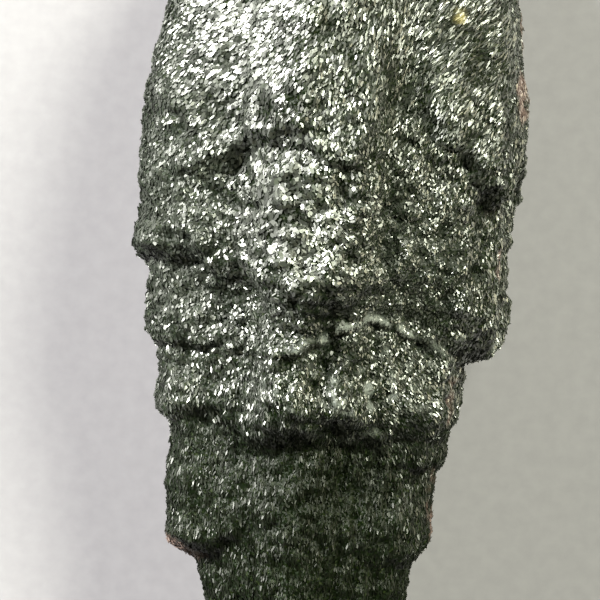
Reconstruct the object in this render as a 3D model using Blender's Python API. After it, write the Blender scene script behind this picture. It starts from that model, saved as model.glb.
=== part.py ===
"""A scepter quartz crystal under a crust of chlorite, lying on its side. Blender 4.5, metres, +Z up.

The crystal is one solid. A slim stem grew first, and a wider head grew over its end in shells.
Each shell stops at its own ragged edge, so the head steps down to the stem in ledges.
The c-axis runs along +Y, from the stem's break to the tip, at AXIS_HEIGHT above the surface.
Lengths below are in millimetres, and angles in degrees round the axis: 0 is +X, 90 is up.
"""

import math

import bmesh
import bpy
import numpy as np
from mathutils import Vector, noise

MM = 0.001

# Along the axis, counted from the middle of the head's lower half
TIP = 41.0
BREAK = -34.0
REST_POINT = 9.0  # under this place on the axis is the origin
AXIS_HEIGHT = 10.8

# The six prism faces, and the rhombohedral faces that slope from them to the tip
FIRST_FACE_ANGLE = 9.0
FACE_STEP = 60.0
FACE_REACH = (1.03, 1.00, 1.02, 1.02, 0.99, 1.03)
TIP_LEAD = (0.0, 2.6, 0.4, 3.4, 0.2, 2.2)  # the smaller faces reach higher than the tip
TIP_FACE_SLOPE = math.tan(math.radians(38.2))
EDGE_SHARPNESS = 14.0

# Distance from the axis to a prism face: of the stem, and the most that the head reaches
STEM = ((-34.0, 6.1), (-31.0, 6.7), (-27.0, 6.9), (-24.0, 7.4), (-19.0, 7.9), (-8.0, 8.0), (5.0, 8.1))
HEAD = ((-10.0, 14.4), (4.0, 14.6), (10.0, 14.3), (14.0, 13.9), (18.0, 13.2), (22.0, 12.6), (27.0, 11.6))
HEAD_BLEND = 0.5
STEM_OFFSET = 0.75  # towards +X, at its break end
STEM_OFFSET_ENDS = -14.0

# The smallest distance to a face, at the very tip
LEAST_REACH = 0.02

# Growth shells, from the stem outwards. Each has how far its lip leans down over the ledge, how
# uneven it is, and its edge as it goes round: (angle, place along the axis, thickness, length over
# which it rises)
SHELLS = {
    "stem_lobes": (0.10, 0.45, (
        (0, -22.6, 1.0, 2.4), (36, -22.8, 0.9, 2.8), (60, -23.4, 0.3, 3.0), (90, -23.6, 0.2, 3.0),
        (124, -22.2, 0.2, 2.0), (138, -21.6, 1.2, 1.6), (150, -22.8, 2.1, 1.8), (165, -23.3, 2.3, 1.8),
        (190, -23.2, 2.1, 1.8), (220, -21.8, 1.4, 1.8), (270, -22.0, 0.6, 2.4), (300, -23.1, 0.5, 2.4),
        (330, -22.9, 0.8, 2.4),
    )),
    "right_tongue": (0.40, 0.45, (
        (0, -14.8, 0.7, 1.4), (20, -15.1, 0.8, 1.4), (36, -15.2, 0.7, 1.4), (48, -14.6, 0.4, 1.4),
        (64, -13.6, 0.1, 1.4), (100, -14.0, 0.0, 1.4), (200, -15.0, 0.0, 1.4), (260, -17.6, 0.5, 1.6),
        (300, -16.8, 0.7, 1.6), (330, -14.8, 0.7, 1.4),
    )),
    "lower_skirt": (0.15, 0.35, (
        (0, -11.8, 0.6, 1.6), (20, -12.2, 0.7, 1.6), (36, -13.3, 1.0, 2.2), (48, -13.8, 1.4, 3.2),
        (62, -13.8, 2.0, 3.6), (80, -13.9, 2.4, 3.8), (90, -14.1, 2.5, 3.6), (98, -14.1, 2.5, 3.3),
        (108, -14.5, 2.2, 3.0), (124, -14.0, 1.5, 2.8), (150, -12.8, 1.0, 2.2), (165, -12.4, 1.1, 1.5),
        (190, -13.4, 1.2, 1.8), (230, -14.9, 1.3, 2.0), (270, -13.6, 1.3, 2.0), (310, -13.6, 1.1, 2.0),
        (340, -11.9, 0.6, 1.8),
    )),
    "arched_lip": (0.40, 0.30, (
        (30, -7.6, 0.0, 0.7), (39, -6.4, 0.3, 0.6), (46, -5.2, 0.45, 0.6), (53, -4.4, 0.5, 0.6),
        (60, -3.9, 0.5, 0.6), (67, -3.7, 0.5, 0.6), (78, -4.3, 0.5, 0.6), (87, -5.5, 0.5, 0.6),
        (97, -6.4, 0.45, 0.6), (108, -7.0, 0.4, 0.8), (122, -7.4, 0.4, 1.2), (150, -6.9, 1.0, 1.6),
        (165, -6.6, 1.2, 1.6), (190, -7.4, 1.0, 1.6), (220, -8.6, 0.4, 1.4), (280, -10.2, 0.5, 1.4),
        (330, -8.4, 0.2, 1.4),
    )),
    "upper_skirt": (0.20, 0.50, (
        (0, -5.6, 2.7, 2.2), (14, -6.4, 2.6, 1.8), (26, -6.7, 2.2, 2.8), (36, -6.2, 1.5, 4.0),
        (46, -4.6, 1.4, 4.6), (53, -3.8, 1.4, 4.8), (67, -3.0, 1.5, 4.6), (78, -3.6, 1.8, 4.2),
        (87, -4.7, 2.0, 4.4), (97, -5.5, 2.0, 4.6), (114, -4.4, 1.6, 4.0), (133, -2.2, 1.3, 2.6),
        (150, -0.4, 1.3, 1.5), (165, -0.2, 1.3, 1.3), (190, -1.0, 1.3, 1.4), (210, -2.6, 1.4, 1.8),
        (240, -5.6, 1.4, 2.2), (280, -7.2, 1.5, 2.4), (310, -5.8, 1.9, 2.0), (340, -4.6, 2.6, 2.4),
    )),
    "head_scales": (0.30, 0.95, (
        (10, 8.0, 0.85, 1.5), (25, 6.2, 1.0, 1.5), (32, 5.0, 1.1, 1.4), (40, 7.0, 1.2, 1.4),
        (47, 8.4, 1.1, 1.7), (55, 9.4, 0.9, 2.0), (65, 12.4, 0.45, 2.4), (75, 11.6, 0.35, 2.6),
        (84, 6.4, 0.7, 2.8), (91, 6.6, 1.0, 2.6), (102, 8.2, 1.3, 2.2), (113, 8.4, 1.3, 2.2),
        (127, 6.9, 1.2, 2.4), (143, 4.2, 0.8, 2.6), (165, 3.0, 0.2, 1.6), (200, 4.2, 0.4, 1.6),
        (240, 7.0, 0.7, 1.4), (280, 2.6, 0.6, 1.6), (320, 4.5, 0.7, 1.4),
    )),
}
LIP_FADE = 2.6  # how far above a ledge its lip still leans
RIM = 0.14  # of a shell's thickness, that its lip stands proud
RIM_PLACE = 1.1  # where the lip is highest, in lengths of the rise
RIM_WIDTH = 0.7

# Ragged edges and lumps, as (size, height). Each reads its own layer of the noise
EDGE_WANDER = ((4.2, 0.80), (1.7, 0.60), (0.8, 0.30))
WANDER_LEAST = 0.3  # of that height, on a shell that isn't uneven, and how much the rest adds
WANDER_SHARE = 1.2
EDGE_RADIUS = 13.0  # of the circle that the edges' noise is read on
UNEVENNESS_SIZE = 3.2  # of the stretches where a shell is thicker or thinner
UNEVENNESS_SHIFT = 40.0  # so far along the noise is another pattern
WAVES = ((6.5, 0.46), (3.0, 0.28))
FIRST_WAVE_LAYER = 7
KNOBS = ((2.6, 0.42), (1.35, 0.32))
KNOB_ROUNDNESS = 1.5  # the higher, the smaller the knobs and the wider the creases
FIRST_KNOB_LAYER = 11
BREAK_SCOOPS = ((5.0, 1.3), (2.3, 0.5))  # shallow hollows, as in broken glass
BREAK_LAYER = 23
BREAK_DOME = 0.5  # how far the break bulges

# How much of that relief shows: less on the sloping faces, on the bare stem, up to where so many
# shells lie on it, and on the head's upper half
TIP_RELIEF = 0.6
STEM_RELIEF = 0.45
FULL_RELIEF_LAYERS = 3.0
UPPER_RELIEF = ((6.0, 1.0), (14.0, 0.6))
STRIA_SPACING = 1.1
STRIA_DEPTH = 0.04

# The grid that the form is read on, and the faces kept from it
GRID_AROUND = 192
GRID_ALONG = 176
BREAK_ROWS = 14
FACES_KEPT = 8600
SMOOTH_UP_TO = 35.0  # two faces that meet at a wider angle keep a sharp edge

CUTTER_SIZE = 120.0

# How far apart two layers are in Blender's noise
WAVE_LAYER_STEP = Vector((17.3, -9.1, 5.7))
KNOB_LAYER_STEP = Vector((-7.9, 12.4, 3.1))


def clear_scene():
    for thing in list(bpy.data.objects):
        bpy.data.objects.remove(thing)


def collection(name):
    made = bpy.data.collections.new(name)
    bpy.context.scene.collection.children.link(made)
    return made


def rise(t):
    """0 below 0, 1 above 1, and smooth between."""
    t = np.clip(t, 0.0, 1.0)
    return t * t * (3.0 - 2.0 * t)


def along(places, stations):
    """A distance that changes along the axis, straight between its stations."""
    return np.interp(places, [s[0] for s in stations], [s[1] for s in stations])


def around(angles, edge, column):
    """One column of a shell's edge at each angle, straight between its points, once round."""
    return np.interp(angles, [p[0] for p in edge], [p[column] for p in edge], period=360.0)


def smooth_noise(points, size, layer):
    """Soft waves of about that size, from -1 to 1, with another pattern for each layer."""
    offset = WAVE_LAYER_STEP * layer
    return np.array([noise.noise(Vector(p) / size + offset) for p in points])


def knob_noise(points, size, layer):
    """Rounded knobs of about that size, from -0.5 in the creases to 0.5 on top."""
    offset = KNOB_LAYER_STEP * layer
    far = np.array([noise.voronoi(Vector(p) / size + offset)[0][0] for p in points])
    return np.maximum(0.5 - KNOB_ROUNDNESS * far**2, -0.5)


def face_reach(angles, distances):
    """How far a ray at each angle goes to a crystal's section, given its six faces' distances."""
    total = np.zeros_like(angles)
    for number, distance in enumerate(distances):
        turned = np.radians(angles - FIRST_FACE_ANGLE - FACE_STEP * number)
        total += (np.clip(np.cos(turned), 0.0, None) / distance) ** EDGE_SHARPNESS
    return total ** (-1.0 / EDGE_SHARPNESS)


def on_cylinder(places, angles, radius):
    """Points to read a noise at, on a plain cylinder or on the body round the axis."""
    turned = np.radians(angles)
    return np.stack([radius * np.cos(turned), places, radius * np.sin(turned)], axis=1)


def shells(places, angles):
    """The shells' thickness, how far their lips lean towards the stem, and how many lie there."""
    guide = on_cylinder(np.zeros_like(places), angles, EDGE_RADIUS)
    shifted = on_cylinder(np.full_like(places, UNEVENNESS_SHIFT), angles, EDGE_RADIUS)
    thickness = np.zeros_like(places)
    lean = np.zeros_like(places)
    layers = np.zeros_like(places)
    for layer, (drop, share, edge) in enumerate(SHELLS.values(), start=1):
        start = around(angles, edge, 1)
        for size, height in EDGE_WANDER:
            start = start + height * (WANDER_LEAST + WANDER_SHARE * share) * smooth_noise(guide, size, layer)
        uneven = 1.0 + share * smooth_noise(shifted, UNEVENNESS_SIZE, layer)
        full = around(angles, edge, 2) * uneven
        ramp = around(angles, edge, 3) * uneven
        t = (places - start) / ramp
        grown = rise(t)
        above = np.clip(t - 1.0, 0.0, None) * ramp / LIP_FADE
        thickness += full * (grown + RIM * np.exp(-(((t - RIM_PLACE) / RIM_WIDTH) ** 2)))
        lean += drop * full * grown * np.exp(-above)
        layers += grown
    return thickness, lean, layers


def crystal_surface(places, angles):
    """Points on the crystal's side and tip, for places along the axis and angles round it."""
    thickness, lean, layers = shells(places, angles)
    grown = along(places, STEM) + thickness
    limit = along(places, HEAD)
    body = -HEAD_BLEND * np.logaddexp(-grown / HEAD_BLEND, -limit / HEAD_BLEND)

    guide = on_cylinder(places, angles, body)
    relief = STRIA_DEPTH * np.sin(places * 2.0 * math.pi / STRIA_SPACING)
    for layer, (size, height) in enumerate(WAVES, start=FIRST_WAVE_LAYER):
        relief = relief + height * smooth_noise(guide, size, layer)
    for layer, (size, height) in enumerate(KNOBS, start=FIRST_KNOB_LAYER):
        relief = relief + height * knob_noise(guide, size, layer)
    relief = relief * (STEM_RELIEF + (1.0 - STEM_RELIEF) * rise(layers / FULL_RELIEF_LAYERS))
    relief = relief * along(places, UPPER_RELIEF)

    distances = []
    for share, lead in zip(FACE_REACH, TIP_LEAD):
        sloping = (TIP + lead - places) * TIP_FACE_SLOPE
        flat = (body + relief) * share
        distances.append(np.maximum(np.minimum(flat, sloping + TIP_RELIEF * relief), LEAST_REACH))
    reach = face_reach(angles, distances)

    sideways = STEM_OFFSET * rise((STEM_OFFSET_ENDS - places) / (STEM_OFFSET_ENDS - BREAK))
    turned = np.radians(angles)
    return np.stack(
        [reach * np.cos(turned) + sideways, places - lean, reach * np.sin(turned)], axis=1
    )


def crystal_points(rows, angles):
    """Points for rows from 0, the middle of the break, to 1, the tip."""
    break_share = BREAK_ROWS / GRID_ALONG
    side = np.clip((rows - break_share) / (1.0 - break_share), 0.0, 1.0)
    places = BREAK + (TIP - BREAK) * side
    inwards = np.clip(rows / break_share, 0.0, 1.0)
    points = crystal_surface(places, angles)
    rounded = np.sin(inwards * math.pi / 2.0)
    points[:, 0] = STEM_OFFSET + (points[:, 0] - STEM_OFFSET) * rounded
    points[:, 2] *= rounded
    bulge = BREAK_DOME
    for layer, (size, height) in enumerate(BREAK_SCOOPS, start=BREAK_LAYER):
        bulge = bulge - height * knob_noise(points, size, layer)
    points[:, 1] -= (1.0 - inwards**4) * bulge
    return points


def make_crystal(group, finish):
    """The whole crystal, from a sphere's grid whose points are moved to the crystal's surface."""
    shape = bmesh.new()
    bmesh.ops.create_uvsphere(shape, u_segments=GRID_AROUND, v_segments=GRID_ALONG, radius=1.0)
    at = np.array([v.co for v in shape.verts])
    rows = np.arccos(np.clip(-at[:, 2], -1.0, 1.0)) / math.pi
    angles = np.degrees(np.arctan2(at[:, 1], at[:, 0])) % 360.0
    points = crystal_points(rows, angles)
    points += np.array([0.0, -REST_POINT, AXIS_HEIGHT])
    for vertex, point in zip(shape.verts, points):
        vertex.co = Vector(point) * MM
    bmesh.ops.recalc_face_normals(shape, faces=shape.faces)
    mesh = bpy.data.meshes.new("scepter_crystal")
    shape.to_mesh(mesh)
    shape.free()
    crystal = bpy.data.objects.new("scepter_crystal", mesh)
    group.objects.link(crystal)
    mesh.materials.append(finish)

    thin = crystal.modifiers.new("fewer faces", "DECIMATE")
    thin.ratio = FACES_KEPT / (2.0 * GRID_AROUND * (GRID_ALONG - 1))
    return crystal


def make_rest_cutter(group):
    """A block under the surface that the crystal lies on. It leaves the contact face flat."""
    bpy.ops.mesh.primitive_cube_add(size=CUTTER_SIZE * MM, location=(0, 0, -CUTTER_SIZE * MM / 2.0))
    cutter = bpy.context.object
    cutter.name = "rest_cutter"
    for old in cutter.users_collection:
        old.objects.unlink(cutter)
    group.objects.link(cutter)
    cutter.hide_render = True
    cutter.display_type = "WIRE"
    return cutter


def chlorite_finish():
    """Chlorite crust: dark green, with the soft gleam of many fine plates."""
    made = bpy.data.materials.new("chlorite_crust")
    made.use_nodes = True
    shader = made.node_tree.nodes["Principled BSDF"]
    shader.inputs["Base Color"].default_value = (0.055, 0.072, 0.042, 1.0)
    shader.inputs["Roughness"].default_value = 0.42
    shader.inputs["Metallic"].default_value = 0.0
    return made


def main():
    clear_scene()
    parts = collection("scepter quartz crystal")
    cutters = collection("cutters")
    crystal = make_crystal(parts, chlorite_finish())
    cutter = make_rest_cutter(cutters)
    cut = crystal.modifiers.new("contact face", "BOOLEAN")
    cut.operation = "DIFFERENCE"
    cut.object = cutter
    crystal.data.shade_smooth()
    crystal.data.set_sharp_from_angle(angle=math.radians(SMOOTH_UP_TO))


main()
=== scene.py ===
# %% [markdown]
# # A scepter quartz crystal under a crust of chlorite
#
# The object is one quartz crystal, 76 mm long, that lies on its side. Quartz grew a slim stem
# first. Later a wider head grew over the stem's end, shell over shell, and every shell stopped
# at a ragged edge. Then chlorite, a green mineral of thin soft plates, covered nearly all of it.
#
# The eye reads such a piece in three steps: the six-sided head with its ledges, the lumpy crust,
# and the plates that flash where they face the lamp. This lesson makes them in that order:
# one mesh for the form, finer lumps on it, and then plates by the ten thousand with Geometry
# Nodes. Lengths are in millimetres until they go into Blender, which works in metres here.

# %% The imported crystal
import math

import bmesh
import bpy
import numpy as np
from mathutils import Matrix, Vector, noise


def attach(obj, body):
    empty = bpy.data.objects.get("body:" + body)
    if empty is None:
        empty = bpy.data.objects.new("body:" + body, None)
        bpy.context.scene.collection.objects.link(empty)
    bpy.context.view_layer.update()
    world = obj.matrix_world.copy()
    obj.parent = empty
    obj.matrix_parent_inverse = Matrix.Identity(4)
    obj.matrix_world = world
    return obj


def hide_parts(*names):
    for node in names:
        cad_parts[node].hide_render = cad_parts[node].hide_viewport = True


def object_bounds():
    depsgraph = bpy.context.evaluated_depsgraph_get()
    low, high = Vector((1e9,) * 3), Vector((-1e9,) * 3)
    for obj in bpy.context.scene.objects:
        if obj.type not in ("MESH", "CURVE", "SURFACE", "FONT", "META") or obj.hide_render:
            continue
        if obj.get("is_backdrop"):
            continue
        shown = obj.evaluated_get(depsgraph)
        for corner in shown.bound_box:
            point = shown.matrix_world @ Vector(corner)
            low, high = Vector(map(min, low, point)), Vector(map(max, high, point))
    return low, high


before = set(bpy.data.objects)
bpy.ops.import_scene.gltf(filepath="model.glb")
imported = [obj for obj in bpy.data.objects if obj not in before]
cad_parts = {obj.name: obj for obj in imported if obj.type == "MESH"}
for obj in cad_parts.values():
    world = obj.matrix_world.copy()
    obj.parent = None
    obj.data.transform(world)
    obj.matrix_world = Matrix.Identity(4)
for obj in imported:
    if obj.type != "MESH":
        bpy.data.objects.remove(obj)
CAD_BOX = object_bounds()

MM = 0.001
print("CAD box, mm:", [[round(c / MM, 1) for c in corner] for corner in CAD_BOX])

# %% [markdown]
# ## The form
#
# The solid in the frame has only as many faces as collision and a plain view need. A scan or
# sculpting could give a finer one, but then it would be another crystal. So the crust is worked
# out again from the same named sizes as the solid, on a much finer grid, and it has the same
# ledges in the same places. A place on the crystal is given by two numbers: how far along the
# c-axis it is, and at what angle round it. Angle 0 points along +X and 90 points up.

# %% Sizes of the crystal, as in the solid
TIP = 41.0
BREAK = -34.0
REST_POINT = 9.0  # under this place on the axis is the origin
AXIS_HEIGHT = 10.8
FIRST_FACE_ANGLE = 9.0
FACE_STEP = 60.0
FACE_REACH = (1.03, 1.00, 1.02, 1.02, 0.99, 1.03)
TIP_LEAD = (0.0, 2.6, 0.4, 3.4, 0.2, 2.2)
TIP_FACE_SLOPE = math.tan(math.radians(38.2))
EDGE_SHARPNESS = 14.0
STEM = ((-34.0, 6.1), (-31.0, 6.7), (-27.0, 6.9), (-24.0, 7.4), (-19.0, 7.9), (-8.0, 8.0), (5.0, 8.1))
HEAD = ((-10.0, 14.4), (4.0, 14.6), (10.0, 14.3), (14.0, 13.9), (18.0, 13.2), (22.0, 12.6), (27.0, 11.6))
HEAD_BLEND = 0.5
STEM_OFFSET = 0.75
STEM_OFFSET_ENDS = -14.0
LEAST_REACH = 0.02
print("crystal:", TIP - BREAK, "mm along its axis, without the lead of the tip's faces")

# %% [markdown]
# Each growth shell is a list of points round the crystal: the angle, the place along the axis
# where the shell's edge is, how thick the shell is, and over what length it rises to that. In
# front of a list stand how far its lip leans over the ledge below and how uneven the shell is,
# both as shares of its thickness. The edge also wanders a little with noise of three sizes.

# %% The growth shells, from the stem outwards
SHELLS = {
    "stem_lobes": (0.10, 0.45, (
        (0, -22.6, 1.0, 2.4), (36, -22.8, 0.9, 2.8), (60, -23.4, 0.3, 3.0), (90, -23.6, 0.2, 3.0),
        (124, -22.2, 0.2, 2.0), (138, -21.6, 1.2, 1.6), (150, -22.8, 2.1, 1.8), (165, -23.3, 2.3, 1.8),
        (190, -23.2, 2.1, 1.8), (220, -21.8, 1.4, 1.8), (270, -22.0, 0.6, 2.4), (300, -23.1, 0.5, 2.4),
        (330, -22.9, 0.8, 2.4),
    )),
    "right_tongue": (0.40, 0.45, (
        (0, -14.8, 0.7, 1.4), (20, -15.1, 0.8, 1.4), (36, -15.2, 0.7, 1.4), (48, -14.6, 0.4, 1.4),
        (64, -13.6, 0.1, 1.4), (100, -14.0, 0.0, 1.4), (200, -15.0, 0.0, 1.4), (260, -17.6, 0.5, 1.6),
        (300, -16.8, 0.7, 1.6), (330, -14.8, 0.7, 1.4),
    )),
    "lower_skirt": (0.15, 0.35, (
        (0, -11.8, 0.6, 1.6), (20, -12.2, 0.7, 1.6), (36, -13.3, 1.0, 2.2), (48, -13.8, 1.4, 3.2),
        (62, -13.8, 2.0, 3.6), (80, -13.9, 2.4, 3.8), (90, -14.1, 2.5, 3.6), (98, -14.1, 2.5, 3.3),
        (108, -14.5, 2.2, 3.0), (124, -14.0, 1.5, 2.8), (150, -12.8, 1.0, 2.2), (165, -12.4, 1.1, 1.5),
        (190, -13.4, 1.2, 1.8), (230, -14.9, 1.3, 2.0), (270, -13.6, 1.3, 2.0), (310, -13.6, 1.1, 2.0),
        (340, -11.9, 0.6, 1.8),
    )),
    "arched_lip": (0.40, 0.30, (
        (30, -7.6, 0.0, 0.7), (39, -6.4, 0.3, 0.6), (46, -5.2, 0.45, 0.6), (53, -4.4, 0.5, 0.6),
        (60, -3.9, 0.5, 0.6), (67, -3.7, 0.5, 0.6), (78, -4.3, 0.5, 0.6), (87, -5.5, 0.5, 0.6),
        (97, -6.4, 0.45, 0.6), (108, -7.0, 0.4, 0.8), (122, -7.4, 0.4, 1.2), (150, -6.9, 1.0, 1.6),
        (165, -6.6, 1.2, 1.6), (190, -7.4, 1.0, 1.6), (220, -8.6, 0.4, 1.4), (280, -10.2, 0.5, 1.4),
        (330, -8.4, 0.2, 1.4),
    )),
    "upper_skirt": (0.20, 0.50, (
        (0, -5.6, 2.7, 2.2), (14, -6.4, 2.6, 1.8), (26, -6.7, 2.2, 2.8), (36, -6.2, 1.5, 4.0),
        (46, -4.6, 1.4, 4.6), (53, -3.8, 1.4, 4.8), (67, -3.0, 1.5, 4.6), (78, -3.6, 1.8, 4.2),
        (87, -4.7, 2.0, 4.4), (97, -5.5, 2.0, 4.6), (114, -4.4, 1.6, 4.0), (133, -2.2, 1.3, 2.6),
        (150, -0.4, 1.3, 1.5), (165, -0.2, 1.3, 1.3), (190, -1.0, 1.3, 1.4), (210, -2.6, 1.4, 1.8),
        (240, -5.6, 1.4, 2.2), (280, -7.2, 1.5, 2.4), (310, -5.8, 1.9, 2.0), (340, -4.6, 2.6, 2.4),
    )),
    "head_scales": (0.30, 0.95, (
        (10, 8.0, 0.85, 1.5), (25, 6.2, 1.0, 1.5), (32, 5.0, 1.1, 1.4), (40, 7.0, 1.2, 1.4),
        (47, 8.4, 1.1, 1.7), (55, 9.4, 0.9, 2.0), (65, 12.4, 0.45, 2.4), (75, 11.6, 0.35, 2.6),
        (84, 6.4, 0.7, 2.8), (91, 6.6, 1.0, 2.6), (102, 8.2, 1.3, 2.2), (113, 8.4, 1.3, 2.2),
        (127, 6.9, 1.2, 2.4), (143, 4.2, 0.8, 2.6), (165, 3.0, 0.2, 1.6), (200, 4.2, 0.4, 1.6),
        (240, 7.0, 0.7, 1.4), (280, 2.6, 0.6, 1.6), (320, 4.5, 0.7, 1.4),
    )),
}
LIP_FADE = 2.6  # mm over which a lip's lean dies out behind the edge
BARE_LIP = "arched_lip"  # the one with clean pale quartz along its edge
RIM = 0.14  # how much thicker a shell is along its rim
RIM_PLACE = 1.1  # of the ramp's length, behind the edge
RIM_WIDTH = 0.7
EDGE_WANDER = ((4.2, 0.80), (1.7, 0.60), (0.8, 0.30))  # the size and height of each
WANDER_LEAST = 0.3
WANDER_SHARE = 1.2
EDGE_RADIUS = 13.0
UNEVENNESS_SIZE = 3.2
UNEVENNESS_SHIFT = 40.0
print(len(SHELLS), "shells")

# %% [markdown]
# Two kinds of noise shape the surface. Perlin noise gives soft waves. Voronoi noise, turned
# upside down, gives rounded knobs with creases between them, and that is how chlorite grows:
# as small balls of plates that touch. The solid has waves and knobs down to 1.35 mm. Two finer
# sizes of knob are added here, because they only show close up.

# %% Waves and knobs
# Each noise: its size and its height, in mm. Its layer gives it a pattern of its own.
WAVES = ((6.5, 0.46), (3.0, 0.28))
FIRST_WAVE_LAYER = 7
KNOBS = ((2.6, 0.42), (1.35, 0.32))
KNOB_ROUNDNESS = 1.5
FIRST_KNOB_LAYER = 11
FINE_KNOBS = ((0.85, 0.30), (0.48, 0.16))
BREAK_SCOOPS = ((5.0, 1.3), (2.3, 0.5))
BREAK_LAYER = 23
BREAK_DOME = 0.5
TIP_RELIEF = 0.6
STEM_RELIEF = 0.45
FULL_RELIEF_LAYERS = 3.0
UPPER_RELIEF = ((6.0, 1.0), (14.0, 0.6))  # the head's upper half is smoother
STEM_GROOVES = (0.75, 7.0, 0.30)  # how wide, how long and how deep
GROOVE_LAYER = 31
STRIA_SPACING = 1.1  # quartz has fine steps across its upright faces
STRIA_DEPTH = 0.04
WAVE_LAYER_STEP = Vector((17.3, -9.1, 5.7))
KNOB_LAYER_STEP = Vector((-7.9, 12.4, 3.1))
print("knobs:", [size for size, height in KNOBS + FINE_KNOBS], "mm across")


# %% The two kinds of noise
def at_each(points, read):
    """Reads a noise at every point of a grid of points."""
    flat = [read(Vector(p)) for p in points.reshape(-1, 3)]
    return np.array(flat).reshape(points.shape[:-1])


def smooth_noise(points, size, layer):
    """Soft waves of about that size, from -1 to 1, with another pattern for each layer."""
    return at_each(points, lambda p: noise.noise(p / size + WAVE_LAYER_STEP * layer))


def knob_noise(points, size, layer):
    """Rounded knobs of about that size, from -0.5 in the creases to 0.5 on top."""
    far = at_each(points, lambda p: noise.voronoi(p / size + KNOB_LAYER_STEP * layer)[0][0])
    return np.maximum(0.5 - KNOB_ROUNDNESS * far**2, -0.5)


print("a soft wave at one point:", round(float(smooth_noise(np.ones((1, 3)), 3.0, 1)[0]), 2))

# %% [markdown]
# A few small helpers do the rest of the geometry: a smooth step, a table that is read along the
# axis or round it, points on a cylinder, and the section of a six-sided prism. The section follows
# from how far its six faces are from the axis. A high power joins them, which leaves the edges a
# little rounded, as they are under a crust.

# %% Helpers for the form
def rise(t):
    """0 below 0, 1 above 1, and smooth between."""
    t = np.clip(t, 0.0, 1.0)
    return t * t * (3.0 - 2.0 * t)


def along(places, stations):
    """A value at each place, from a list of (place, value) with straight lines between."""
    return np.interp(places, [s[0] for s in stations], [s[1] for s in stations])


def around(angles, edge, column):
    """One column of a shell's list at each angle, round and round."""
    return np.interp(angles, [p[0] for p in edge], [p[column] for p in edge], period=360.0)


def on_cylinder(places, angles, radius):
    """Points on a cylinder round the axis, or on the body if the radius changes from place to place."""
    turned = np.radians(angles)
    flat = np.broadcast_arrays(radius * np.cos(turned), places, radius * np.sin(turned))
    return np.stack(flat, axis=-1)


def face_reach(angles, distances):
    """How far a ray at each angle goes to a crystal's section, given its six faces' distances."""
    total = 0.0
    for number, distance in enumerate(distances):
        turned = np.radians(angles - FIRST_FACE_ANGLE - FACE_STEP * number)
        total = total + (np.clip(np.cos(turned), 0.0, None) / distance) ** EDGE_SHARPNESS
    return total ** (-1.0 / EDGE_SHARPNESS)


CORNER = face_reach(FIRST_FACE_ANGLE + FACE_STEP / 2.0, (1.0,) * 6)
print("a prism with its faces 1 mm out has its corners", round(float(CORNER), 2), "mm out")

# %% [markdown]
# A shell rises to its thickness over a short ramp, stands up a little along its rim, and leans
# forwards over the ledge below. Added up, the shells turn the slim stem into the wide head.

# %% The shells' thickness
def shells(places, angles):
    """The shells' thickness, their lips' lean, how many lie there, and the line of the bare lip."""
    guide = on_cylinder(0.0, angles, EDGE_RADIUS)
    shifted = on_cylinder(UNEVENNESS_SHIFT, angles, EDGE_RADIUS)
    thickness, lean, layers, line = 0.0, 0.0, 0.0, 0.0
    for layer, (name, (drop, share, edge)) in enumerate(SHELLS.items(), start=1):
        start = around(angles, edge, 1)
        for size, height in EDGE_WANDER:
            start = start + height * (WANDER_LEAST + WANDER_SHARE * share) * smooth_noise(guide, size, layer)
        uneven = 1.0 + share * smooth_noise(shifted, UNEVENNESS_SIZE, layer)
        full = around(angles, edge, 2) * uneven
        ramp = around(angles, edge, 3) * uneven
        t = (places - start) / ramp
        grown = rise(t)
        above = np.clip(t - 1.0, 0.0, None) * ramp / LIP_FADE
        thickness = thickness + full * (grown + RIM * np.exp(-(((t - RIM_PLACE) / RIM_WIDTH) ** 2)))
        lean = lean + drop * full * grown * np.exp(-above)
        layers = layers + grown
        if name == BARE_LIP:
            line = np.exp(-(((t - RIM_PLACE) / RIM_WIDTH) ** 2))
    return thickness, lean, layers, line


ON_TOP = shells(np.array([[10.0]]), np.array([90.0]))
print("all shells together, on top and 10 mm along:", round(ON_TOP[0].item(), 1), "mm")

# %% [markdown]
# No shell can grow past the head's own faces, so the body is the smaller of the two, with a soft
# change between them. Waves, knobs and grooves are added to it. Then six faces cut it: upright
# ones along the sides, and sloping ones at the tip, each a little ahead of or behind its neighbour.

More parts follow.
